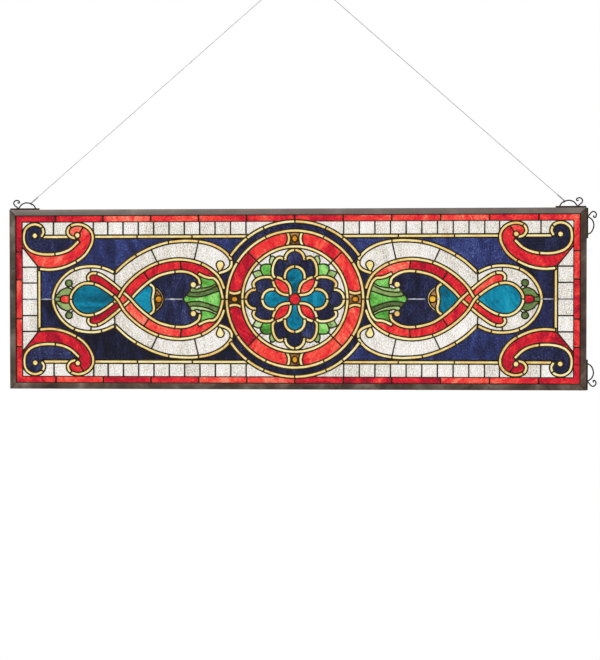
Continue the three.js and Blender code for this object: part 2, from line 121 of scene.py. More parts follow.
class Nodes:
    """A material under construction."""

    def __init__(self, name):
        self.material = bpy.data.materials.new(name)
        self.material.use_nodes = True
        self.tree = self.material.node_tree
        self.shader = self.tree.nodes["Principled BSDF"]

    def add(self, kind, **values):
        node = self.tree.nodes.new(kind)
        for key, value in values.items():
            if key in node.inputs.keys():
                node.inputs[key].default_value = value
            else:
                setattr(node, key, value)
        return node

    def link(self, out, to):
        self.tree.links.new(out, to)

    def noise(self, vector, scale, detail=3.0, roughness=0.5, distortion=0.0):
        node = self.add("ShaderNodeTexNoise", Scale=scale, Detail=detail, Roughness=roughness,
                        Distortion=distortion)
        self.link(vector, node.inputs["Vector"])
        return node.outputs["Fac"]

    def stretched(self, vector, scale):
        node = self.add("ShaderNodeMapping", Scale=scale)
        self.link(vector, node.inputs["Vector"])
        return node.outputs["Vector"]

    def ramp(self, value, stops):
        node = self.add("ShaderNodeValToRGB")
        band = node.color_ramp
        while len(band.elements) < len(stops):
            band.elements.new(0.5)
        for element, (place, colour) in zip(band.elements, stops):
            element.position = place
            element.color = linear(*colour)
        self.link(value, node.inputs["Fac"])
        return node.outputs["Color"]

    def mix(self, factor, a, b, blend="MIX"):
        node = self.add("ShaderNodeMix", data_type="RGBA", blend_type=blend)
        for slot, value in ((0, factor), (6, a), (7, b)):
            if isinstance(value, bpy.types.NodeSocket):
                self.link(value, node.inputs[slot])
            else:
                node.inputs[slot].default_value = value
        return node.outputs[2]

    def math(self, operation, a, b=0.0):
        node = self.add("ShaderNodeMath", operation=operation)
        for slot, value in ((0, a), (1, b)):
            if isinstance(value, bpy.types.NodeSocket):
                self.link(value, node.inputs[slot])
            else:
                node.inputs[slot].default_value = value
        return node.outputs[0]

    def bump(self, height, strength, distance):
        node = self.add("ShaderNodeBump", Strength=strength, Distance=distance)
        self.link(height, node.inputs["Height"])
        self.link(node.outputs["Normal"], self.shader.inputs["Normal"])

    def set(self, **values):
        for key, value in values.items():
            self.shader.inputs[key.replace("_", " ")].default_value = value


def glass_material(name, streaks, tones=0.25, grainy=0.25, spread=2.0, bump=0.5, clear=0.93, stretch=0.35):
    """Sheet glass: streaks are its colours against the light, tones shift each piece."""
    n = Nodes(name)
    grain = n.add("ShaderNodeUVMap", uv_map="grain").outputs["UV"]
    tone = n.add("ShaderNodeAttribute", attribute_name="tone").outputs["Fac"]
    broad = n.noise(n.stretched(grain, (stretch, 1, 1)), 60, 4, 0.55, 0.8)
    swirl = n.noise(n.stretched(grain, (stretch * 1.6, 1, 1)), 190, 3, 0.6, 1.5)
    ripple = n.noise(n.stretched(grain, (1, 1.6, 1)), 420, 2, 0.5, 0.4)
    value = n.math("ADD", n.math("MULTIPLY", broad, 0.62 * (1 - grainy)), n.math("MULTIPLY", swirl, 0.38 * (1 - grainy)))
    value = n.math("ADD", value, n.math("MULTIPLY", ripple, grainy))
    value = n.math("ADD", n.math("MULTIPLY", n.math("SUBTRACT", value, 0.5), spread), 0.5)
    shifted = n.math("ADD", value, n.math("MULTIPLY", n.math("SUBTRACT", tone, 0.5), tones))
    n.link(n.ramp(shifted, streaks), n.shader.inputs["Base Color"])
    n.bump(n.math("ADD", ripple, n.math("MULTIPLY", broad, 1.5)), bump, 0.0006)
    n.set(Roughness=0.16, IOR=1.2, Metallic=0.0, Transmission_Weight=clear)
    return n.material


def metal_material(name, stops, scale, roughness, bump, metallic=0.85):
    n = Nodes(name)
    place = n.add("ShaderNodeTexCoord").outputs["Object"]
    patches = n.noise(place, scale, 4, 0.6, 0.6)
    n.link(n.ramp(patches, stops), n.shader.inputs["Base Color"])
    rough = n.noise(place, scale * 3.1, 3, 0.6)
    n.link(n.math("ADD", n.math("MULTIPLY", rough, 0.3), roughness - 0.15), n.shader.inputs["Roughness"])
    n.bump(n.noise(place, scale * 6, 3, 0.6), bump, 0.0004)
    n.set(Metallic=metallic)
    return n.material


GLASS = {
    "red": glass_material("red_glass", [(0.1, (146, 12, 36)), (0.34, (204, 22, 46)), (0.52, (236, 48, 52)),
                                        (0.7, (246, 86, 66)), (0.88, (252, 140, 116))], 0.5, 0.3, 2.6),
    "white": glass_material("white_glass", [(0.06, (166, 156, 148)), (0.28, (211, 205, 193)),
                                            (0.48, (233, 228, 217)), (0.64, (243, 239, 237)),
                                            (0.86, (253, 252, 248))], 0.2, 0.6, 2.9, 0.7),
    "navy": glass_material("navy_glass", [(0.1, (14, 12, 28)), (0.34, (26, 27, 50)), (0.54, (36, 39, 72)),
                                          (0.74, (48, 54, 98)), (0.95, (88, 98, 146))], 0.3, 0.5, 3.4),
    "blue": glass_material("blue_glass", [(0.1, (18, 17, 28)), (0.32, (32, 34, 62)), (0.52, (42, 48, 94)),
                                          (0.74, (52, 64, 126)), (0.95, (92, 108, 162))], 0.6, 0.5, 3.2),
    "teal": glass_material("teal_glass", [(0.15, (0, 78, 98)), (0.4, (0, 108, 136)), (0.58, (4, 132, 164)),
                                          (0.85, (24, 156, 186))], 0.3, 0.1, 2.4),
    "green": glass_material("green_glass", [(0.15, (52, 108, 40)), (0.38, (90, 168, 64)), (0.56, (116, 200, 88)),
                                            (0.8, (166, 226, 132))], 0.35, 0.3, 2.8),
    "leaf": glass_material("pale_leaf_glass", [(0.15, (104, 136, 74)), (0.4, (144, 182, 106)),
                                               (0.6, (176, 208, 138)), (0.85, (214, 230, 184))], 0.5, 0.3, 2.8),
    "olive": glass_material("olive_glass", [(0.15, (66, 84, 46)), (0.4, (94, 122, 68)), (0.6, (120, 150, 82)),
                                            (0.85, (158, 180, 112))], 0.5, 0.3, 2.4),
    "amber": glass_material("amber_glass", [(0.2, (176, 96, 8)), (0.5, (222, 146, 22)), (0.8, (248, 196, 60))],
                            0.3, 0.2),
    "brown": glass_material("brown_glass", [(0.2, (50, 32, 30)), (0.5, (112, 68, 36)), (0.8, (190, 136, 84))],
                            0.5, 0.3, 2.6),
    "gold": glass_material("gold_glass", [(0.1, (228, 174, 94)), (0.32, (245, 210, 128)), (0.54, (252, 229, 154)),
                                          (0.76, (254, 241, 182)), (0.92, (255, 248, 214))], 0.35, 0.2, 2.2, 0.5, 0.9),
}
UPRIGHT = ("blue", "navy", "white")

# How bright a pane's own sheet is, 0 to 1, with the upper piece first where the axis parts it
SHEET_TONES = {
    "blue_field_top_left": 0.55, "blue_field_top_right": 0.7, "blue_field_bottom_left": 0.0,
    "blue_field_bottom_right": 0.5, "blue_end_left": (0.6, 0.1), "blue_end_right": (0.2, 0.25),
    "navy_field_left": (0.55, 0.35), "navy_field_right": (0.3, 0.45),
}
TONE_SPREAD = 0.12

SOLDER = metal_material("dark_solder", [(0.3, (26, 19, 10)), (0.5, (44, 34, 20)), (0.7, (66, 53, 34)),
                                        (0.85, (90, 74, 50))], 60, 0.45, 0.4)
BRIGHT_SOLDER = metal_material("bright_solder", [(0.3, (120, 124, 130)), (0.6, (170, 174, 180)),
                                                 (0.85, (206, 208, 212))], 90, 0.35, 0.3)
def paint_top_rail_light(material, level, colour, share):
    """Mixes a painted highlight into the top rail: a lighter colour that stands in for light falling from above, from
    its lower edge and up to the mitres.
    """
    tree = material.node_tree
    shader = tree.nodes["Principled BSDF"]
    n = Nodes.__new__(Nodes)
    n.material, n.tree, n.shader = material, tree, shader
    height = n.add("ShaderNodeSeparateXYZ")
    n.link(n.add("ShaderNodeTexCoord").outputs["Object"], height.inputs[0])
    off_axis = n.math("ABSOLUTE", n.math("ADD", height.outputs[0], HANG_OFFSET * MM))
    past_side = n.math("MAXIMUM", n.math("SUBTRACT", off_axis, SIGHT_WIDTH * MM), 0.0)
    rise = n.math("SUBTRACT", height.outputs[2], level)
    # Painted highlight mask: the top rail above the level and inside the mitres gets the lighter colour
    painted_light_mask = n.math("MULTIPLY", n.math("GREATER_THAN", rise, past_side), share)
    under = shader.inputs["Base Color"].links[0].from_socket
    n.link(n.mix(painted_light_mask, under, linear(*colour)), shader.inputs["Base Color"])


FRAME_METAL = metal_material("frame_patina", [(0.26, (42, 34, 30)), (0.42, (64, 52, 45)), (0.54, (82, 69, 59)),
                                              (0.68, (112, 98, 88)), (0.82, (96, 88, 76))], 24, 0.5, 0.5)
# Painted highlight: the top rail is made lighter grey, standing in for light from above falling on it
paint_top_rail_light(FRAME_METAL, (SIGHT_HEIGHT - HANG_DROP) * MM, (124, 115, 110), 0.55)
WIRE_METAL = metal_material("dark_wire", [(0.3, (30, 27, 26)), (0.6, (52, 48, 45)), (0.85, (86, 80, 74))],
                            90, 0.42, 0.3)
CABLE_METAL = metal_material("bright_wire", [(0.3, (118, 112, 108)), (0.6, (156, 150, 146)),
                                             (0.85, (196, 190, 184))], 120, 0.35, 0.2)


def add_mesh(name, vertices, faces, material, smooth=False):
    data = bpy.data.meshes.new(name)
    data.from_pydata([tuple(v) for v in vertices], [], faces)
    data.validate()
    data.materials.append(material)
    if smooth:
        data.polygons.foreach_set("use_smooth", [True] * len(data.polygons))
    data.update()
    piece = bpy.data.objects.new(name, data)
    bpy.context.scene.collection.objects.link(piece)
    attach(piece, "root")
    return piece


class Shape:
    """Vertices and faces that are gathered before they become one piece."""

    def __init__(self):
        self.vertices = []
        self.faces = []

    def tube(self, rings, closed):
        start = len(self.vertices)
        sides = len(rings[0])
        for ring in rings:
            self.vertices.extend(ring)
        count = len(rings)
        for i in range(count if closed else count - 1):
            a, b = start + i * sides, start + ((i + 1) % count) * sides
            for k in range(sides):
                m = (k + 1) % sides
                self.faces.append((a + k, a + m, b + m, b + k))
        if not closed:
            self.faces.append(tuple(start + k for k in reversed(range(sides))))
            self.faces.append(tuple(start + (count - 1) * sides + k for k in range(sides)))

    def piece(self, name, material, slot, smooth=True):
        return add_mesh(name, self.vertices, self.faces, material, smooth)


def round_wire(shape, line, radius, sides=12, taper=True):
    """A round wire along 3-D points, its ends rounded off."""
    points = [Vector(p) for p in line]
    ways = [(points[min(i + 1, len(points) - 1)] - points[max(i - 1, 0)]).normalized()
            for i in range(len(points))]
    normal = ways[0].orthogonal().normalized()
    rings = []

    def ring(middle, way, size):
        side = way.cross(normal)
        return [middle + (normal * math.cos(a) + side * math.sin(a)) * size
                for a in (math.tau * k / sides for k in range(sides))]

    for i, (point, way) in enumerate(zip(points, ways)):
        normal = (normal - way * normal.dot(way)).normalized()
        if taper and i == 0:
            rings.append(ring(point - way * radius * 0.7, way, radius * 0.5))
        rings.append(ring(point, way, radius))
        if taper and i == len(points) - 1:
            rings.append(ring(point + way * radius * 0.7, way, radius * 0.5))
    shape.tube(rings, False)


# Cords: the two hanging wires from the shoulders of the top hangers to the ring
HANGER_WIRE = 2.2
HANGER_BASE = 48
HANGER_END = 14
HANGER_ARCH = 10.8
HANGER_SPAN = 31
HANGER_PEAK = 12.5
CURL_RADIUS = 5.3
CURL_HEIGHT = 10.2
CORNER_TO_HANGER = 14.4
SEAT_GAP = 0.3
ROUNDED_END = 0.8
RING_HOLE = 14
RING_WIRE = 2
WIRE_THICKNESS = 1
HANGER_RISE = HANGER_WIRE / 2 + SEAT_GAP
ARCH_RISE = HANGER_ARCH - HANGER_RISE
SHOULDER = (-HANGER_SPAN * 0.66, HANGER_RISE + ARCH_RISE * 0.85)
HANGER_OUT = HALF_WIDTH - CORNER_TO_HANGER
HANGER_UP = HALF_HEIGHT - CORNER_TO_HANGER
RING_MIDDLE = RING_HOLE / 2
TWIST_LENGTH = 13
TWIST_TURNS = 7


def circle_round(middle, across, up, radius, start=0.0, turn=math.tau, steps=28):
    return [middle + across * (radius * math.cos(start + turn * i / steps))
            + up * (radius * math.sin(start + turn * i / steps)) for i in range(steps + 1)]


def twist(shape, foot, way, aside, loop_middle, loop_radius):
    """The wire's end: a loop round what it holds, then turns back round the wire itself."""
    radius = WIRE_THICKNESS * MM / 2
    depth = way.cross(aside).normalized()
    across = depth.cross(way).normalized()
    coil = []
    steps = TWIST_TURNS * 12
    for i in range(steps + 1):
        angle = math.tau * TWIST_TURNS * i / steps
        reach = radius * (2.02 + 0.25 * math.sin(angle * 0.37))
        along = way * (TWIST_LENGTH * MM * (i / steps))
        coil.append(foot + along + (across * math.cos(angle) + depth * math.sin(angle)) * reach)
    round_wire(shape, coil, radius * 0.9, 8)
    toward = (loop_middle - foot).normalized()
    eye = circle_round(loop_middle, -toward, depth, loop_radius, 0.35, math.tau - 0.7, 24)
    round_wire(shape, [foot + depth * radius * 0.5] + eye + [foot - depth * radius * 0.5], radius * 0.9, 8)


ring_centre = Vector((0, 0, -RING_MIDDLE * MM))
ring_shape = Shape()
ring_radius = (RING_MIDDLE + RING_WIRE / 2) * MM
ring_rings = []
for i in range(64):
    a = math.tau * i / 64
    outward = Vector((math.cos(a), 0, math.sin(a)))
    middle = ring_centre + outward * ring_radius
    ring_rings.append([middle + (outward * math.cos(b) + Vector((0, 1, 0)) * math.sin(b)) * (RING_WIRE * MM / 2)
                       for b in (math.tau * k / 14 for k in range(14))])
ring_shape.tube(ring_rings, True)
ring_piece = ring_shape.piece("hanging_ring_round", WIRE_METAL, "wire_steel")
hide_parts("hanging_ring")

foot_rise = HALF_HEIGHT - HANG_DROP + SHOULDER[1] + HANGER_WIRE / 2 + SEAT_GAP
for side_name, sign in (("left", -1), ("right", 1)):
    foot = Vector((sign * (HANGER_OUT + SHOULDER[0]) - HANG_OFFSET, 0, foot_rise)) * MM
    way = (ring_centre - foot).normalized()
    head = ring_centre - way * (RING_MIDDLE + RING_WIRE + SEAT_GAP) * MM
    foot += way * (WIRE_THICKNESS / 2 + SEAT_GAP) * MM
    ends = Shape()
    shoulder = world(sign * (HANGER_OUT + SHOULDER[0]), HALF_HEIGHT + SHOULDER[1])
    twist(ends, foot, way, Vector((0, 1, 0)), shoulder, (HANGER_WIRE / 2 + WIRE_THICKNESS / 2 + 0.15) * MM)
    on_ring = ring_centre - way * ring_radius
    twist(ends, head, -way, Vector((0, 1, 0)), on_ring, (RING_WIRE / 2 + WIRE_THICKNESS / 2 + 0.15) * MM)
    ends_piece = ends.piece(f"wire_twists_{side_name}", CABLE_METAL, "wire_steel")
    curve = bpy.data.curves.new(f"wire_{side_name}", "CURVE")
    curve.dimensions = "3D"
    curve.bevel_depth = WIRE_THICKNESS * MM / 2
    curve.bevel_resolution = 3
    curve.use_fill_caps = True
    spline_line = curve.splines.new("POLY")
    steps = 24
    spline_line.points.add(steps)
    for i in range(steps + 1):
        spline_line.points[i].co = (*foot.lerp(head, i / steps), 1)
    curve.materials.append(CABLE_METAL)
    wire = bpy.data.objects.new(f"wire_{side_name}", curve)
    bpy.context.scene.collection.objects.link(wire)
    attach(wire, "root")
    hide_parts(f"hanging_wire_{side_name}")


# Curves of the ornament

def catmull_rom(points, step=0.5):
    """A centripetal spline through 2-D points, sampled about every step millimetres."""
    p = [np.array(q, float) for q in points]
    p = [2 * p[0] - p[1]] + p + [2 * p[-1] - p[-2]]
    line = [p[1]]
    for i in range(1, len(p) - 2):
        a, b, c, d = p[i - 1:i + 3]
        t = [0.0]
        for u, v in ((a, b), (b, c), (c, d)):
            t.append(t[-1] + max(np.hypot(*(v - u)), 1e-6) ** 0.5)
        count = max(2, int(np.hypot(*(c - b)) / step))
        for s in np.linspace(t[1], t[2], count + 1)[1:]:
            ab = a + (b - a) * (s - t[0]) / (t[1] - t[0])
            bc = b + (c - b) * (s - t[1]) / (t[2] - t[1])
            cd = c + (d - c) * (s - t[2]) / (t[3] - t[2])
            abc = ab + (bc - ab) * (s - t[0]) / (t[2] - t[0])
            bcd = bc + (cd - bc) * (s - t[1]) / (t[3] - t[1])
            line.append(abc + (bcd - abc) * (s - t[1]) / (t[2] - t[1]))
    return np.array(line)


def straight(a, b, step=0.5):
    a, b = np.array(a, float), np.array(b, float)
    count = max(2, int(np.hypot(*(b - a)) / step))
    return a + (b - a) * np.linspace(0, 1, count + 1)[:, None]


def round_line(middle, radius, start=0.0, end=math.tau, step=0.5):
    count = max(12, int(abs(end - start) * radius / step))
    angles = np.linspace(start, end, count + 1)
    return np.array(middle) + radius * np.stack([np.cos(angles), np.sin(angles)], 1)


def spot(points, sx=1, sy=1):
    """Points of the side fields, out from the middle and up, in one of the four quarters."""
    points = np.array(points, float).reshape(-1, 2)
    out = MIDDLE_RING + (points[:, 0] - MIDDLE_RING) * SIDE_STRETCH
    return np.stack([sx * out, sy * points[:, 1]], 1)


def mirrored(points):
    """Both halves of a band that runs across the panel's long axis, from its first point there."""
    first = (points[0][0], 0)
    rest = list(points[1:])
    return [(a, -b) for a, b in reversed(rest)] + [first] + rest


STRIP_LEVEL = 99.5
STRIP_ENDS = (402, 358, 322)
COLUMN_OUT = 406
COLUMN_TOP = 52
LEFT_VOLUTE = [(403, 99), (399.2, 107.4), (403, 116), (412, 119.6), (421, 117.8), (428, 111.4), (430.4, 101.3),
               (429, 89.1), (421, 78.7), (407, 73), (389, 71.6), (371, 73.8), (356, 80.4), (342.5, 93.1)]
RIGHT_VOLUTE = [(347.5, 97.2), (356, 99.7), (360.5, 106.4), (358.5, 114), (351, 118.6), (340, 119.2),
                (329, 114.5), (321.7, 105.3), (320.7, 94.1), (326, 80.4), (336, 67.7), (350, 58.2),
                (367, 50.9), (387, 47.3), (406, 48.5)]
SMALL_LOOP = [(384.2, -0.5), (382.5, 10.7), (377.5, 22.4), (369, 34.1), (356, 44.8), (342, 50.4), (327, 52.5),
              (312, 51.8), (299, 48.3), (285.5, 42)]
BIG_LOOP = [(285.5, 42), (267, 59), (252, 69.4), (237, 77.6), (219, 85.2), (201, 90.2), (182, 92.3), (164, 92.6),
            (147, 90.8), (132, 87), (117, 79.6), (107, 71.2), (101.2, 62.1), (100.9, 53.9), (104.5, 48.3),
            (111, 44.3), (121.5, 41)]
RIBBON_CAP = [(326.5, 29), (328, 35.1), (324, 40.4), (316, 41.4), (307, 38.2), (297, 31.6), (287, 23.9),
              (277, 15.3), (260, 0)]
DROP_EDGE = [(355.5, -0.5), (355.5, 4.6), (352, 12.2), (345, 19.8), (336, 24.6), (326, 25.5), (315, 23.2),
             (305, 18.1), (295, 11.2), (282, 0)]
RING_EDGE = [(282, 0), (270.5, 18.3), (262, 28), (250, 38.7), (237, 47.8), (222, 55.5), (205, 60.6),
             (187, 63.1), (172, 62.3), (158, 59.5), (145, 54.7), (133, 47.3), (123, 38.2), (116.5, 28),
             (112, 15.8)]
FIELD_EDGE = [(260, 0), (252, 9.2), (242, 18.8), (230, 28.5), (217, 36.6), (203, 41.2), (187, 44), (173, 43.5),
              (161, 39.2), (152.5, 32.1), (150.5, 22.9)]
LEAF_EDGE = [(114.7, -0.5), (116.2, 9.7), (119, 19.3), (123, 28), (129, 33.3), (136, 33.9), (143, 35.8),
             (153.5, 41)]
BRACKET = [(225.5, -0.5), (224.7, 6.6), (223.4, 14.2), (225, 20.4), (229, 23.6), (230, 28.5)]
BRACKET_ARC = [(231.5, 119), (237, 123), (242, 127.5), (246, 133), (247.8, 140.5)]
HOOK = [(150.5, 22.9), (152.5, 19.8), (157, 19.2), (161, 22.5)]
TEARDROP = (118.5, 54.5)
TEARDROP_ROUND = 6.3
TEARDROP_TIP = (119.6, 41.5)
EYES = [(413, 101.6, 4.9), (345, 102, 4.8), (161, 23, 5.3)]
EYE_OUTLINE = 0.2
GEM_OUT = 216
GEM_RADIUS = 5.6
JEWEL_RADIUS = 8.7
PALMETTE_FRONT = [(177, -0.5), (174, 4.6), (169.5, 9.7), (162, 22)]
SIDE_LOBE = [(62.5, 16.5), (65.4, 22), (65, 26), (60.5, 30.8), (53, 34), (46, 35), (38.5, 34.5), (33.5, 31)]
LENS_EDGE = [(35.5, 32), (33.5, 24), (30, 17), (25, 11), (19, 7.9), (13, 6.6), (8.5, 6.4), (6, 6)]
LOBE = (62.7, 15, 1.7)
PETAL = (36, 15.7, 1.85)
OUTER_RING_FOOT = 68
CAP_DISTANCE = 9.1
CAP_BULGE = 4.6
QUARTERS = [(-1, 1), (1, 1), (-1, -1), (1, -1)]


class Band:
    """A gold band or a round spot: its outline is cut where an earlier one lies over it."""

    def __init__(self, line=None, half=STRAP_HALF, closed=False, centre=None, radius=0):
        self.line, self.half, self.closed, self.centre, self.radius = line, half, closed, centre, radius
        around = line if line is not None else np.array([centre])
        grow = half if line is not None else radius
        self.low, self.high = around.min(0) - grow, around.max(0) + grow

    def holds(self, points, slack=0.0):
        result = np.zeros(len(points), bool)
        near = np.all((points > self.low - slack) & (points < self.high + slack), axis=1)
        if not near.any():
            return result
        p = points[near]
        if self.line is None:
            result[near] = np.hypot(*(p - self.centre).T) < self.radius + slack
            return result
        line = np.vstack([self.line[:-1:3], self.line[-1]])
        a, b = line[:-1], line[1:]
        d = b - a
        length = (d ** 2).sum(1)
        t = ((p[:, None] - a[None]) * d[None]).sum(2) / length[None]
        margin = 0.02
        low = np.where(np.arange(len(a)) == 0, 0.0 if not self.closed else -margin, -margin)
        high = np.where(np.arange(len(a)) == len(a) - 1, 1.0 if not self.closed else 1 + margin, 1 + margin)
        on = (t >= low[None]) & (t <= high[None])
        away = np.abs((p[:, None] - a[None])[:, :, 0] * d[None, :, 1]
                      - (p[:, None] - a[None])[:, :, 1] * d[None, :, 0]) / np.sqrt(length)[None]
        result[near] = ((away < self.half + slack) & on).any(1)
        return result

    def outline(self):
        if self.line is None:
            return [round_line(self.centre, self.radius)]
        way = np.gradient(self.line, axis=0)
        if self.closed:
            way[0] = way[-1] = self.line[1] - self.line[-2]
        way /= np.maximum(np.hypot(*way.T), 1e-9)[:, None]
        side = np.stack([-way[:, 1], way[:, 0]], 1) * self.half
        edges = [self.line + side, self.line - side]
        if self.closed:
            return edges
        caps = [straight(self.line[end] + side[end] * 1.1, self.line[end] - side[end] * 1.1) for end in (0, -1)]
        run_on = np.stack([-way[0], way[-1]]) * 0.25
        return [np.vstack([edge[0] + run_on[0], edge, edge[-1] + run_on[1]]) for edge in edges] + caps


bands = []


def add_band(line, **more):
    bands.append(Band(line, **more))


def add_spot(centre, radius):
    bands.append(Band(centre=np.array(centre, float), radius=radius))


# What lies over comes first: round spots, rings, scrolls, then the bands that end against them
add_spot((0, 0), JEWEL_RADIUS)
spots = [((0, 0), JEWEL_RADIUS, "red", "jewel")]
for sx in (-1, 1):
    gem = tuple(spot([(GEM_OUT, 0)], sx)[0])
    add_spot(gem, GEM_RADIUS)
    spots.append((gem, GEM_RADIUS, "amber", "gems"))
for sx, sy in QUARTERS:
    for out, up, radius in EYES:
        eye = tuple(spot([(out, up)], sx, sy)[0])
        add_spot(eye, radius - EYE_OUTLINE)
        spots.append((eye, radius - EYE_OUTLINE, "gold", "scroll_eyes"))
first_band = len(bands)
add_band(round_line((0, 0), MIDDLE_RING), closed=True)
add_band(round_line((0, 0), INNER_RING), closed=True)
foot_angle = math.asin(OUTER_RING_FOOT / OUTER_RING)
add_band(round_line((0, 0), OUTER_RING, foot_angle, math.pi - foot_angle))
add_band(round_line((0, 0), OUTER_RING, -math.pi + foot_angle, -foot_angle))
for sx, sy in QUARTERS:
    for points in (RIGHT_VOLUTE, LEFT_VOLUTE):
        add_band(spot(catmull_rom(points), sx, sy))
for sx in (-1, 1):
    add_band(spot(catmull_rom(mirrored(SMALL_LOOP)), sx))
    for points, across in ((DROP_EDGE, RING_EDGE), (RIBBON_CAP, FIELD_EDGE)):
        for sy in (1, -1):
            start = [(points[0][0], 0)] + list(points[1:]) if points is DROP_EDGE else list(points)
            whole = start[:-1] + [(a, -b) for a, b in across]
            add_band(spot(catmull_rom(whole), sx, sy))
    add_band(spot(catmull_rom(mirrored(LEAF_EDGE)), sx))
    add_band(spot(catmull_rom(mirrored(BRACKET)), sx))
    arc = [(HALF_WIDTH - x, (140.5 - z) * 1.0178) for x, z in reversed(BRACKET_ARC)]
    add_band(spot(catmull_rom(mirrored(arc)), sx), half=1.5)
for sx, sy in QUARTERS:
    for points in (BIG_LOOP, HOOK):
        add_band(spot(catmull_rom(points), sx, sy))
    for run in ([(STRIP_ENDS[0], STRIP_LEVEL), (STRIP_ENDS[1], STRIP_LEVEL)],):
        add_band(straight(*spot(run, sx, sy)))
    meeting = (sx * math.sqrt(OUTER_RING ** 2 - STRIP_LEVEL ** 2), sy * STRIP_LEVEL)
    add_band(straight(spot([(STRIP_ENDS[2], STRIP_LEVEL)], sx, sy)[0], meeting))
for sx in (-1, 1):
    add_band(straight(*spot([(COLUMN_OUT, COLUMN_TOP), (COLUMN_OUT, -COLUMN_TOP)], sx)))
for turn in range(4):
    angle = turn * math.pi / 2
    spin = np.array([[math.cos(angle), math.sin(angle)], [-math.sin(angle), math.cos(angle)]])
    for reach, radius, half_turn in (LOBE, PETAL):
        add_band(round_line((reach, 0), radius, -half_turn, half_turn) @ spin)
    for sy in (1, -1):
        flip = np.array([1, sy])
        for points in (SIDE_LOBE, LENS_EDGE):
            add_band((catmull_rom(points) * flip) @ spin)
        t = np.linspace(-1, 1, 60)
        cap = np.stack([INNER_RING + (MIDDLE_RING - INNER_RING) * (1 + t) / 2, CAP_DISTANCE + CAP_BULGE * t * t], 1)
        add_band((cap * flip) @ spin)

# Plain solder seams, and the small pieces' outlines, in one quarter
SEAM_POINTS = {
    "joints": [[(342.5, 93), (345, 102)], [(285.5, 42), (286, 26)], [(350, 58), (345, 49)], [(413, 102), (403, 99)],
               [(404, 47), (433.6, 84.2)]],
    "scroll tops": [[(432, 101), (433.4, 101)], [(412, 121), (412, 123.2)], [(342, 121), (342, 123.2)],
                    [(342, 105), (333, 119)]],
    "palmette": [PALMETTE_FRONT],
}
plain = []
for sx, sy in QUARTERS:
    for lines in SEAM_POINTS.values():
        for points in lines:
            if points is PALMETTE_FRONT:
                points = [(points[0][0], 0)] + list(points[1:])
            plain.append(spot(catmull_rom(points), sx, sy))


def from_corner(points, sx, sy):
    """Points read from the panel's top left corner, across and down."""
    return spot([(HALF_WIDTH - x, (140.5 - z) * 1.0178) for x, z in points], sx, sy)


BORDER_SEAMS = [383, 306.4, 229.8, 153.2, 76.6, 0]
BORDER_SIDE_SEAMS = [75.8, 31]
ROW_FIRST = 296.5
ROW_PITCH = 24.3
COLUMN_SEAMS = [51.4, 26, 0]
for sx in (-1, 1):
    for sy in (-1, 1):
        for out in BORDER_SEAMS:
            plain.append(straight((sx * out, sy * (FIELD_HEIGHT - 0.1)), (sx * out, sy * (SLAB_HEIGHT + 0.1))))
        for up in BORDER_SIDE_SEAMS:
            plain.append(straight((sx * (FIELD_WIDTH - 0.1), sy * up), (sx * (SLAB_WIDTH + 0.1), sy * up)))
        corner = (sx * FIELD_WIDTH, sy * FIELD_HEIGHT)
        tiles = [383, 319.5] + [ROW_FIRST - ROW_PITCH * k for k in range(10)]
        for out in tiles:
            a, b = spot([(out, STRIP_LEVEL), (out, STRIP_LEVEL)], sx, sy)
            plain.append(straight(a, (b[0], sy * (FIELD_HEIGHT + 0.1))))
        for up in COLUMN_SEAMS:
            a = spot([(COLUMN_OUT, up)], sx, sy)[0]
            plain.append(straight(a, (sx * (FIELD_WIDTH + 0.1), sy * up)))
        for points in ([(230, 64), (238, 81)], [(303, 56), (298.5, 75.5)], [(220, 102), (227, 112)],
                       [(275.5, 81), (277, 96)], [(133, 92), (133.5, 98)]):
            a, b = from_corner(points, sx, sy)
            stretch = (b - a) * 0.25
            plain.append(straight(a - stretch, b + stretch))
        diagonal = np.array([sx, sy]) * math.sqrt(0.5)
        plain.append(straight(diagonal * INNER_RING, diagonal * MIDDLE_RING))
        drop = round_line(TEARDROP, TEARDROP_ROUND, -0.35, math.pi + 0.35)
        tip = np.array(TEARDROP_TIP)
        plain.append(spot(np.vstack([[tip], drop[:1], drop, [tip]]), sx, sy))
# Small pieces: leaves and dots in the side loops, palmette folds, leaves between the flower and its ring
SIDE_LINES = [[(74.5, 137.4), (77, 135.2), (81, 131.5), (84, 127.5), (90, 124), (96, 122.3), (101, 124.2), (107, 126)],
              [(75.5, 135.6), (79.5, 137.2), (84.6, 137.4)],
              [(84.3, 140.6), (85.2, 137.3), (88, 135.3), (92, 134.4), (98, 134.6), (104, 134.4)],
              [(101.5, 119), (104, 121.6), (107, 124.4)],
              [(304, 123), (312, 123), (320, 121.5), (326, 119.5), (337, 113.5)],
              [(288.7, 126), (293, 129.5), (300, 129.8), (308, 129), (315, 127.5), (322, 125), (329, 121.5),
               (338, 117)],
              [(283, 134), (290, 136), (300, 137), (308, 136.5), (316, 134.5), (324, 132), (331, 129.5), (341, 127)]]
FLOWER_LINES = [[(424, 89), (418, 86.5), (411, 86), (405, 87.5), (402.5, 91.5), (403.5, 97.5), (408, 105.5)],
                [(418.5, 87), (416.8, 81), (418.3, 75.5), (418.5, 69)], [(418.3, 75), (422, 73.5), (429, 79)],
                [(387, 100), (395, 97), (400, 95.5), (404.5, 98.3)], [(406, 89), (401, 86), (396.5, 81.5)],
                [(388.3, 97), (392.5, 103.5), (396.5, 111)], [(443.3, 79.5), (450.5, 90)],
                [(394.9, 127), (405.6, 134)]]
END_GEM = (5.3, 4.6)
LOOP_DOT = (98.2, 115.4)
LOOP_DOT_ROUND = 5.4


def flower_corner(points, sx, sy):
    """Points of the medallion read from the panel's top left corner."""
    return np.array([(sx * (HALF_WIDTH - x), sy * (140.5 - z) * 1.0178) for x, z in points])


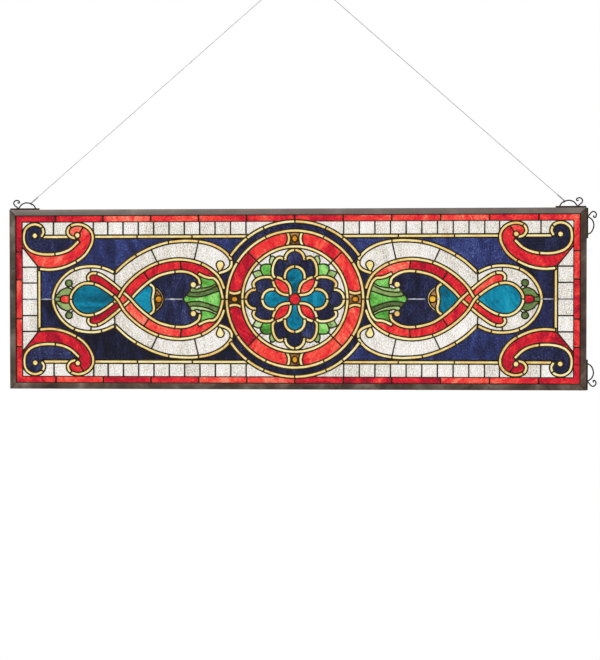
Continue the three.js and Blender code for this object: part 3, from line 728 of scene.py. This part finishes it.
for sx, sy in QUARTERS:
    plain.extend(catmull_rom(from_corner(line, sx, sy)) for line in SIDE_LINES)
    plain.append(round_line(from_corner([LOOP_DOT], sx, sy)[0], LOOP_DOT_ROUND))
    plain.extend(catmull_rom(flower_corner(line, sx, sy)) for line in FLOWER_LINES)
end_gem_out = (INNER_RING + MIDDLE_RING) / 2
for turn in range(4):
    angle = turn * math.pi / 2
    spin = np.array([[math.cos(angle), math.sin(angle)], [-math.sin(angle), math.cos(angle)]])
    gem_line = round_line((0, 0), 1, 0.4, 0.4 + math.tau, 0.05) * END_GEM
    plain.append((gem_line + np.array([end_gem_out, 0])) @ spin)
    for sy in (-1, 1):
        plain.append(straight((end_gem_out, sy * (END_GEM[1] - 0.1)), (end_gem_out, sy * CAP_DISTANCE)) @ spin)
rectangle = [(-1, 1), (1, 1), (1, -1), (-1, -1)]
for width, height in ((FIELD_WIDTH, FIELD_HEIGHT), (SLAB_WIDTH, SLAB_HEIGHT)):
    corners = [np.array([a * width, b * height]) for a, b in rectangle]
    for a, b in zip(corners, corners[1:] + corners[:1]):
        plain.append(straight(a, b))
for sx in (-1, 1):
    plain.append(straight(*spot([(178, 0), (205, 0)], sx)))
    plain.append(straight(*spot([(384, 0), (405, 0)], sx)))

# Solder seams across the gold bands, read from the corner
GOLD_SEAMS = [(144, 98), (138.5, 116.5), (207, 42.7), (294, 42.7), (76, 70), (110.5, 82.5), (136, 43), (101, 26), (107, 93.5), (206, 72.5),
              (257, 52), (304, 50), (356, 80), (240.5, 84), (309, 85), (227, 113), (267, 98), (381, 46),
              (404.5, 25), (409, 42), (364, 83), (397, 82), (47, 42), (62, 23.5), (150, 91.5), (172, 132),
              (171, 98)]


def band_seam(at):
    """A seam square across whichever band passes nearest to a point."""
    best = None
    for band in bands:
        if band.line is None:
            continue
        away = np.hypot(*(band.line - at).T)
        i = int(away.argmin())
        if best is None or away[i] < best[0]:
            best = (away[i], band, i)
    _, band, i = best
    j, k = max(i - 2, 0), min(i + 2, len(band.line) - 1)
    way = band.line[k] - band.line[j]
    way /= np.hypot(*way)
    side = np.array([-way[1], way[0]]) * (band.half + 0.25)
    return band, straight(band.line[i] + side, band.line[i] - side, 0.2)


gold_seams = []
for sx, sy in QUARTERS:
    for point in GOLD_SEAMS:
        gold_seams.append(band_seam(from_corner([point], sx, sy)[0]))
    for angle, radius in ((0, INNER_RING), (0, MIDDLE_RING), (0.25, LOBE[0]), (math.pi / 2, OUTER_RING)):
        at = np.array([math.cos(angle), math.sin(angle)]) * radius
        gold_seams.append(band_seam(at * np.array([sx, sy])))
for sx in (-1, 1):
    for out in (384.2, 355.5, 114.7, 225.5):
        gold_seams.append(band_seam(spot([(out, 0.01)], sx)[0]))
for turn in range(4):
    angle = turn * math.pi / 2
    spin = np.array([[math.cos(angle), math.sin(angle)], [-math.sin(angle), math.cos(angle)]])
    for at in ((77.7, 0), (51.7, 0)):
        gold_seams.append(band_seam(np.array(at) @ spin))


def cut(line, over, keep_inside=None):
    """The runs of a line that no band of a list lies over."""
    low, high = line.min(0), line.max(0)
    over = [b for b in over if np.all(b.low < high) and np.all(b.high > low)]

    def free(points):
        hidden = np.zeros(len(points), bool)
        for band in over:
            hidden |= band.holds(points)
        return ~hidden

    state = free(line)
    runs, run = [], []

    def crossing(a, b, a_free):
        for _ in range(9):
            middle = (a + b) / 2
            if free(middle[None])[0] == a_free:
                a = middle
            else:
                b = middle
        return b if a_free else a

    for i, point in enumerate(line):
        if i and state[i] != state[i - 1]:
            edge = crossing(line[i - 1], point, state[i - 1])
            way = (point - line[i - 1]) / max(np.hypot(*(point - line[i - 1])), 1e-9) * 0.3
            if state[i]:
                run = [edge - way]
            else:
                run.append(edge + way)
                runs.append(run)
                run = []
        if state[i]:
            run.append(point)
    if run:
        runs.append(run)
    return [np.array(r) for r in runs if len(r) > 1]


def thinned(line, error=0.05):
    """Drops the points that a straight run keeps within the error."""
    keep = np.zeros(len(line), bool)
    keep[0] = keep[-1] = True
    stack = [(0, len(line) - 1)]
    while stack:
        a, b = stack.pop()
        if b - a < 2:
            continue
        way = line[b] - line[a]
        length = np.hypot(*way)
        off = line[a + 1:b] - line[a]
        away = np.abs(off[:, 0] * way[1] - off[:, 1] * way[0]) / length if length > 1e-9 else np.hypot(*off.T)
        worst = int(away.argmax())
        if away[worst] > error:
            keep[a + 1 + worst] = True
            stack += [(a, a + 1 + worst), (a + 1 + worst, b)]
    return line[keep]


runs = []
for i, band in enumerate(bands):
    for edge in band.outline():
        runs.extend(cut(edge, bands[:i]))
for line in plain:
    runs.extend(cut(line, bands))
for band, line in gold_seams:
    runs.extend(cut(line, bands[:bands.index(band)]))
lines = [thinned(run) for run in runs]
lines = [line for line in lines if np.hypot(*np.diff(line, axis=0).T).sum() > 0.25]
print("solder lines", len(lines), "points", sum(len(line) for line in lines))

# The glass pieces between the lines
points, edges = [], []
for line in lines:
    start = len(points)
    joined = np.hypot(*(line[0] - line[-1])) < 1e-6
    count = len(line) - 1 if joined else len(line)
    points.extend(Vector((float(x), float(y))) for x, y in line[:count])
    edges.extend((start + i, start + (i + 1) % count) for i in range(len(line) - 1))
flat, flat_edges, triangles, _, edge_from, _ = delaunay_2d_cdt(points, edges, [], 0, 1e-4)
walls = {tuple(sorted(edge)) for edge, source in zip(flat_edges, edge_from) if source}
beside = {}
for t, face in enumerate(triangles):
    for a, b in zip(face, face[1:] + face[:1]):
        beside.setdefault(tuple(sorted((a, b))), []).append(t)
cell_of = [-1] * len(triangles)
cells = []
for seed in range(len(triangles)):
    if cell_of[seed] >= 0:
        continue
    cell_of[seed] = len(cells)
    members, stack = [], [seed]
    while stack:
        t = stack.pop()
        members.append(t)
        face = triangles[t]
        for a, b in zip(face, face[1:] + face[:1]):
            key = tuple(sorted((a, b)))
            if key in walls:
                continue
            for other in beside[key]:
                if cell_of[other] < 0:
                    cell_of[other] = len(cells)
                    stack.append(other)
    cells.append(members)
print("triangles", len(triangles), "cells", len(cells))


def triangle_area(t):
    a, b, c = (flat[i] for i in triangles[t])
    return abs((b - a).cross(c - a)) / 2


def inner_point(members):
    best = max(members, key=triangle_area)
    return sum((flat[i] for i in triangles[best]), Vector((0, 0))) / 3


# Which CAD pane each piece of glass belongs to, seen from the front
pane_points, pane_faces, pane_names = [], [], []
for name, node in frame["nodes"].items():
    if name.startswith(("frame_", "hang", "strapwork")):
        continue
    base = len(pane_points)
    pane_points.extend(v.co.copy() for v in node.data.vertices)
    for polygon in node.data.polygons:
        pane_faces.append([base + i for i in polygon.vertices])
        pane_names.append(name)
pane_tree = BVHTree.FromPolygons(pane_points, pane_faces)


def pane_at(point):
    hit = pane_tree.ray_cast(world(point.x, point.y, -50), Vector((0, 1, 0)), 0.1)
    return pane_names[hit[2]] if hit[0] is not None else None


SIDE_SEEDS = [("gold", "scroll_eyes", (HALF_WIDTH - TEARDROP[0], 140.5 - TEARDROP[1] / 1.0178)),
              ("olive", "loop_leaves", LOOP_DOT), ("olive", "loop_leaves", (92, 129)),
              ("olive", "loop_leaves", (80, 138.9)), ("red", "loop_dots", (95, 138)),
              ("red", "loop_ribbons", (150, 108)), ("red", "diamonds", (183.5, 140.4)),
              ("brown", "bracket_corners", (238.5, 129.5)), ("green", None, (320, 117)), ("leaf", None, (312, 125.5)),
              ("olive", None, (300, 133)), ("green", None, (310, 140))]
FLOWER_SEEDS = [("green", "flower_leaves", (412, 95)), ("leaf", "flower_leaves", (421, 81)),
                ("leaf", "flower_leaves", (397, 102))]
seeds = [(colour, group, Vector(centre)) for centre, radius, colour, group in spots]
for sx, sy in QUARTERS:
    for colour, group, point in SIDE_SEEDS:
        seeds.append((colour, group, Vector(from_corner([point], sx, sy)[0])))
    for colour, group, point in FLOWER_SEEDS:
        seeds.append((colour, group, Vector(flower_corner([point], sx, sy)[0])))
for turn in range(4):
    spin = Matrix.Rotation(turn * math.pi / 2, 2)
    for colour, group, point in (("teal", "petals", (36, 0)), ("red", "lens_petals", (23, 23)),
                                 ("amber", "end_gems", (end_gem_out, 0)),
                                 ("brown", "end_gem_sides", (end_gem_out - 7.5, 0)),
                                 ("brown", "end_gem_sides", (end_gem_out + 7.5, 0))):
        seeds.append((colour, group, spin @ Vector(point)))
seeds.append(("red", "jewel", Vector((0, 0))))
for side, sign in (("top", 1), ("bottom", -1)):
    seeds.append(("navy", f"navy_ring_{side}", Vector((0, sign * (MIDDLE_RING + OUTER_RING) / 2))))


def cell_at(point):
    for t, face in enumerate(triangles):
        a, b, c = (flat[i] for i in face)
        if abs((b - a).cross(c - a)) < LEAST_TRIANGLE:
            continue
        turns = [(q - p).cross(point - p) for p, q in ((a, b), (b, c), (c, a))]
        if all(v >= 0 for v in turns) or all(v <= 0 for v in turns):
            return cell_of[t]
    return None


LEAST_TRIANGLE = 0.01
seeded = {}
for colour, group, point in seeds:
    cell = cell_at(point)
    if cell is not None:
        seeded[cell] = (colour, group)
groups = {}
filler = []
FOOT_SPAN = 30
for number, members in enumerate(cells):
    area = sum(triangle_area(t) for t in members)
    rim = [(a, b) for t in members for a, b in zip(triangles[t], triangles[t][1:] + triangles[t][:1])
           if tuple(sorted((a, b))) in walls or len(beside[tuple(sorted((a, b)))]) == 1]
    length = sum((flat[a] - flat[b]).length for a, b in rim)
    inner = inner_point(members)
    if abs(inner.x) > SLAB_WIDTH or abs(inner.y) > SLAB_HEIGHT:
        continue
    if area < 2 or 2 * area / max(length, 1e-6) < 0.8:
        filler.append(members)
        continue
    pane = pane_at(inner)
    if number in seeded:
        colour, group = seeded[number]
        group = group or pane or "small_pieces"
    elif any(b.holds(np.array([[inner.x, inner.y]]))[0] for b in bands[first_band:]):
        colour, group = "gold", "strapwork"
    elif pane:
        colour, group = pane.split("_")[0], pane
    else:
        beside_palmette = MIDDLE_RING < abs(inner.x) < OUTER_RING and abs(inner.y) < FOOT_SPAN
        colour, group = ("navy", "ring_slivers") if beside_palmette else ("white", "small_white")
    groups.setdefault((colour, group), []).append((members, rim))


def glass_piece(name, colour, members_list):
    """One mesh of separate closed pieces of glass, each with its own grain and tone."""
    vertices, faces, uvs, tones = [], [], [], []
    for members, rim in members_list:
        inset = {}
        for a, b in rim:
            way = flat[b] - flat[a]
            side = Vector((-way.y, way.x)).normalized() if way.length > 1e-9 else Vector((0, 0))
            for i in (a, b):
                inset.setdefault(i, []).append(side)
        area_sign = sum((flat[t[1]] - flat[t[0]]).cross(flat[t[2]] - flat[t[0]]) for t in
                        (triangles[m] for m in members))
        sign = 1 if area_sign > 0 else -1
        place = {}
        for m in members:
            for i in triangles[m]:
                if i not in place:
                    sides = inset.get(i, [])
                    shift = sum(sides, Vector((0, 0)))
                    shift = shift.normalized() * 0.2 if shift.length > 1e-6 else Vector((0, 0))
                    place[i] = flat[i] + shift * sign
        middle = sum(place.values(), Vector((0, 0))) / len(place)
        tilt = Vector((random.uniform(-1, 1), random.uniform(-1, 1))) * 0.0035
        angle = random.uniform(0, math.tau)
        if colour in UPRIGHT:
            angle = math.pi / 2 + (angle / math.tau - 0.5) * 0.5
        offset = Vector((random.uniform(0, 40), random.uniform(0, 40)))
        tone = random.random()
        sheet = SHEET_TONES.get(name.removesuffix(f"_{colour}_glass"))
        if sheet is not None:
            level = sheet if isinstance(sheet, float) else sheet[0 if middle.y > 0 else 1]
            tone = level + (tone - 0.5) * TONE_SPREAD
        index = {}
        for front in (0, 1):
            for i, p in place.items():
                index[i, front] = len(vertices)
                lean = max(-0.25, min(0.25, (p - middle).dot(tilt)))
                depth = (-GLASS_HALF if front == 0 else GLASS_HALF) + lean
                vertices.append(world(p.x, p.y, depth))
                q = (p - middle) * MM
                uvs.append((q.x * math.cos(angle) - q.y * math.sin(angle) + offset.x,
                            q.x * math.sin(angle) + q.y * math.cos(angle) + offset.y))
                tones.append(tone)
        for m in members:
            a, b, c = triangles[m]
            if (flat[b] - flat[a]).cross(flat[c] - flat[a]) < 0:
                a, b, c = a, c, b
            faces.append((index[a, 0], index[b, 0], index[c, 0]))
            faces.append((index[a, 1], index[c, 1], index[b, 1]))
        for a, b in rim:
            if sign < 0:
                a, b = b, a
            faces.append((index[b, 0], index[a, 0], index[a, 1], index[b, 1]))
    piece = add_mesh(name, vertices, faces, GLASS[colour])
    data = piece.data
    layer = data.uv_layers.new(name="grain")
    loops = np.zeros(len(data.loops), np.int32)
    data.loops.foreach_get("vertex_index", loops)
    layer.data.foreach_set("uv", np.array(uvs, np.float32)[loops].ravel())
    attribute = data.attributes.new("tone", "FLOAT", "POINT")
    attribute.data.foreach_set("value", np.array(tones, np.float32))
    return piece


for (colour, group), members_list in groups.items():
    is_node = group in frame["nodes"]
    piece = glass_piece(f"{group}_{colour}_glass", colour, members_list)
    if is_node:
        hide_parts(group)
    if group == "strapwork":
        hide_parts("strapwork_and_leading")


# Solder beads over every seam, front and back
def bead_rings(line, closed, half_width=BEAD_HALF):
    count = len(line)
    rings = []
    for i in range(count):
        before = line[i - 1] if i or closed else 2 * line[0] - line[1]
        after = line[(i + 1) % count] if i < count - 1 or closed else 2 * line[-1] - line[-2]
        a, b = line[i] - before, after - line[i]
        a, b = a / max(np.hypot(*a), 1e-9), b / max(np.hypot(*b), 1e-9)
        way = a + b
        way = way / max(np.hypot(*way), 1e-9)
        side = np.array([-way[1], way[0]]) / max(0.6, float(a @ way))
        wave = noise.noise(Vector((line[i][0] * 0.21, line[i][1] * 0.21, 0)))
        wide = half_width * (1 + 0.18 * wave)
        rise = BEAD_RISE * (0.92 + 0.16 * wave)
        ring = []
        for face in (-1, 1):
            for k in range(6):
                angle = math.pi * (k + 0.5) / 6
                across = math.cos(angle) * wide * -face
                x, y = line[i] + side * across
                ring.append(world(x, y, face * (GLASS_HALF - 0.3 + (rise + 0.3) * math.sin(angle))))
        rings.append(ring)
    return rings


beads = {}
for line in lines:
    middle = line.mean(0)
    if max(abs(middle[0]) - SIGHT_WIDTH, abs(middle[1]) - SIGHT_HEIGHT) > 1:
        continue
    inside = line
    over = (np.abs(line[:, 0]) > SIGHT_WIDTH - 0.2) | (np.abs(line[:, 1]) > SIGHT_HEIGHT - 0.2)
    if over.any():
        inside = np.stack([np.clip(line[:, 0], -SIGHT_WIDTH + 0.2, SIGHT_WIDTH - 0.2),
                           np.clip(line[:, 1], -SIGHT_HEIGHT + 0.2, SIGHT_HEIGHT - 0.2)], 1)
    closed = np.hypot(*(inside[0] - inside[-1])) < 0.2 and len(inside) > 4
    if closed:
        inside = inside[:-1]
    region = "medallion" if np.hypot(*middle) < OUTER_RING + 4 else ("left" if middle[0] < 0 else "right")
    if np.ptp(line[:, 1]) < 0.01 and abs(middle[1]) < 0.01 and abs(middle[0]) > OUTER_RING:
        region = "axis"
    along_border = (np.abs(np.abs(line) - (FIELD_WIDTH, FIELD_HEIGHT)) < 0.3).all(0).any()
    wide = BORDER_BEAD_HALF if along_border else BEAD_HALF
    beads.setdefault(region, Shape()).tube(bead_rings(inside, closed, wide), closed)
for region, shape in beads.items():
    shape.piece(f"solder_{region}", BRIGHT_SOLDER if region == "axis" else SOLDER, "frame_metal")
fill = Shape()
for members in filler:
    index = {}
    for m in members:
        for i in triangles[m]:
            for face in (0, 1):
                if (i, face) not in index:
                    index[i, face] = len(fill.vertices)
                    fill.vertices.append(world(flat[i].x, flat[i].y, (-1.9, 1.9)[face]))
        a, b, c = triangles[m]
        fill.faces.append((index[a, 0], index[b, 0], index[c, 0]))
        fill.faces.append((index[a, 1], index[c, 1], index[b, 1]))
if fill.faces:
    fill.piece("solder_fill", SOLDER, "frame_metal", False)


# Dark solder bead along the joint between the channel and the glass: painted shade that stands in for the shadow line
# at the channel's inner edge
LIP_INSET = 0.1
shade_line_points = []
for (ax, ay), (bx, by) in zip(rectangle, rectangle[1:] + rectangle[:1]):
    a = np.array([ax * (SIGHT_WIDTH - LIP_INSET), ay * (SIGHT_HEIGHT - LIP_INSET)])
    b = np.array([bx * (SIGHT_WIDTH - LIP_INSET), by * (SIGHT_HEIGHT - LIP_INSET)])
    shade_line_points.append(straight(a, b, 6)[:-1])
shade_line_shape = Shape()
shade_line_shape.tube(bead_rings(np.vstack(shade_line_points), True), True)
shade_line_shape.piece("frame_lip_shade_solder", SOLDER, "frame_metal")

# Channel frame, its mitred corners soldered
CORNER_ROUND = 0.9
lip = GLASS_HALF + 0.45
half = FRAME_DEPTH / 2 - 0.05


def channel_profile():
    """The channel's section: out from the glass edge, and depth."""
    section = []
    for cx, cz, start in ((FRAME_FACE - CORNER_ROUND, half - CORNER_ROUND, 0),
                          (CORNER_ROUND, half - CORNER_ROUND, 1)):
        for k in range(4):
            angle = math.pi / 2 * (start + k / 3)
            section.append((cx + CORNER_ROUND * math.cos(angle), cz + CORNER_ROUND * math.sin(angle)))
    section.append((0, lip))
    section.append((CHANNEL_DEPTH, lip))
    other = [(a, -b) for a, b in reversed(section)]
    return section + other


frame_shape = Shape()
profile = channel_profile()
frame_rings = []
for (ax, ay), (bx, by) in zip(rectangle, rectangle[1:] + rectangle[:1]):
    a = Vector((ax * SIGHT_WIDTH, ay * SIGHT_HEIGHT))
    b = Vector((bx * SIGHT_WIDTH, by * SIGHT_HEIGHT))
    steps = int((b - a).length / 12)
    for i in range(steps):
        t = i / steps
        ring = []
        for out, depth in profile:
            start = a + Vector((ax * out, ay * out))
            end = b + Vector((bx * out, by * out))
            p = start.lerp(end, t)
            wave = noise.noise(Vector((p.x * 0.03, p.y * 0.03, depth * 0.2))) * 0.12 if 0 < i else 0
            dent = -wave if depth > 0 else wave
            ring.append(world(p.x, p.y, depth + (dent if abs(depth) > lip + 0.5 else 0) - math.copysign(0.1, depth)))
        frame_rings.append(ring)
frame_shape.tube(frame_rings, True)
frame_piece = frame_shape.piece("frame_channel", FRAME_METAL, "frame_metal")
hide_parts("frame_top", "frame_bottom", "frame_left", "frame_right")
mitre = Shape()
for ax, ay in rectangle:
    for face in (-1, 1):
        rings = []
        for k in range(15):
            t = k / 14
            out = 0.5 + (FRAME_FACE - 1.0) * t
            wide = 0.85 * (0.75 + 0.25 * math.sin(math.pi * t)) * (1 + 0.25 * noise.noise(Vector((k * 0.7, ax, ay))))
            middle = Vector((ax * (SIGHT_WIDTH + out), ay * (SIGHT_HEIGHT + out)))
            side = Vector((-ay, ax)).normalized() * wide
            ring = []
            for m in range(8):
                angle = math.tau * m / 8
                p = middle + side * math.cos(angle)
                ring.append(world(p.x, p.y, face * (half - 0.2 + 0.24 * math.sin(angle))))
            rings.append(ring)
        mitre.tube(rings, False)
mitre.piece("frame_corner_solder", SOLDER, "frame_metal")


# Bent wire hangers, soldered to the frame
def hanger_lines():
    rise = HANGER_RISE
    arch = [(-HANGER_SPAN * 0.89, rise + 0.2), (-HANGER_SPAN * 0.81, rise + ARCH_RISE * 0.5), SHOULDER,
            (-HANGER_PEAK, HANGER_ARCH + 0.3), (-HANGER_PEAK * 0.42, rise + ARCH_RISE * 0.76),
            (-HANGER_PEAK * 0.1, rise + ARCH_RISE * 0.28), (0.8, rise + 0.3)]
    curl = [(2.9, 4.2), (6.6, 7.2), (8, 10.4), (6.7, 13.4), (3.2, 15), (-0.1, 14.2), (-1.5, 12.2), (-0.4, 10.6),
            (1.4, 11.2)]
    scroll = arch + curl
    base = straight((HANGER_END - HANGER_BASE + ROUNDED_END, rise), (HANGER_END - ROUNDED_END, rise), 2)
    return base, catmull_rom(scroll, 0.7)


def hanger(name, place):
    base, scroll = hanger_lines()
    shape = Shape()
    for line in (base, scroll):
        round_wire(shape, [place(x, y) for x, y in line], HANGER_WIRE / 2 * MM, 14)
    piece = shape.piece(f"{name}_bent_wire", WIRE_METAL, "wire_steel")
    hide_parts(name)
    solder = Shape()
    for start, end, thick in ((HANGER_END - HANGER_BASE + 0.3, HANGER_END - 0.3, 1.35), (-4, 4.5, 1.8)):
        rings = []
        for k in range(25):
            x = start + (end - start) * k / 24
            swell = min(1, (min(x - start, end - x) + 0.5) / 5) ** 0.6
            ring = []
            for m in range(12):
                angle = math.tau * m / 12
                lump = 1 + 0.1 * noise.noise(Vector((x * 0.4, m * 0.9, thick)))
                ring.append(place(x, thick * 0.85 * swell + thick * swell * lump * math.sin(angle),
                                  2.3 * swell * lump * math.cos(angle)))
            rings.append(ring)
        solder.tube(rings, False)
    solder.piece(f"{name}_solder", SOLDER, "frame_metal")


def on_top(sign):
    return lambda x, y, z=0: world(sign * (HANGER_OUT + x), HALF_HEIGHT + y, z)


def on_side(sign):
    return lambda x, y, z=0: world(HALF_WIDTH + y, sign * (HANGER_UP + x), z)


hanger("hanger_top_left", on_top(-1))
hanger("hanger_top_right", on_top(1))
hanger("hanger_side_upper", on_side(1))
hanger("hanger_side_lower", on_side(-1))


# Every CAD node that still shows gets a finish
for name, node in frame["nodes"].items():
    if not node.hide_render:
        print("still shown", name)
        node.data.materials.clear()
        node.data.materials.append(GLASS["gold"])


# Plain floor, soft studio light, white surroundings
floor_data = bpy.data.meshes.new("floor")
floor_data.from_pydata([(-1.6, -1.4, -1.25), (1.6, -1.4, -1.25), (1.6, 0.6, -1.25), (-1.6, 0.6, -1.25)], [], [(0, 1, 2, 3)])
floor = bpy.data.objects.new("floor", floor_data)
bpy.context.scene.collection.objects.link(floor)
floor_nodes = Nodes("pale_floor")
speckle = floor_nodes.noise(floor_nodes.add("ShaderNodeTexCoord").outputs["Object"], 40, 4)
floor_nodes.link(floor_nodes.ramp(speckle, [(0.3, (236, 236, 236)), (0.7, (246, 246, 246))]),
                 floor_nodes.shader.inputs["Base Color"])
floor_nodes.set(Roughness=0.8)
floor_data.materials.append(floor_nodes.material)

surroundings = bpy.data.worlds.new("studio")
bpy.context.scene.world = surroundings
surroundings.use_nodes = True
surroundings.node_tree.nodes["Background"].inputs["Color"].default_value = (1, 1, 1, 1)
surroundings.node_tree.nodes["Background"].inputs["Strength"].default_value = 1.0
bpy.context.scene.view_settings.view_transform = "Standard"


def soft_light(name, place, target, size, power):
    data = bpy.data.lights.new(name, "AREA")
    data.shape = "DISK"
    data.size = size
    data.energy = power
    light = bpy.data.objects.new(name, data)
    bpy.context.scene.collection.objects.link(light)
    light.location = place
    light.rotation_mode = "QUATERNION"
    light.rotation_quaternion = (Vector(target) - Vector(place)).to_track_quat("-Z", "Y")


soft_light("key", (-1.4, -2.0, 0.9), (0, 0, -0.5), 1.2, 30)
soft_light("fill", (1.8, -1.6, -0.2), (0, 0, -0.5), 1.4, 12)
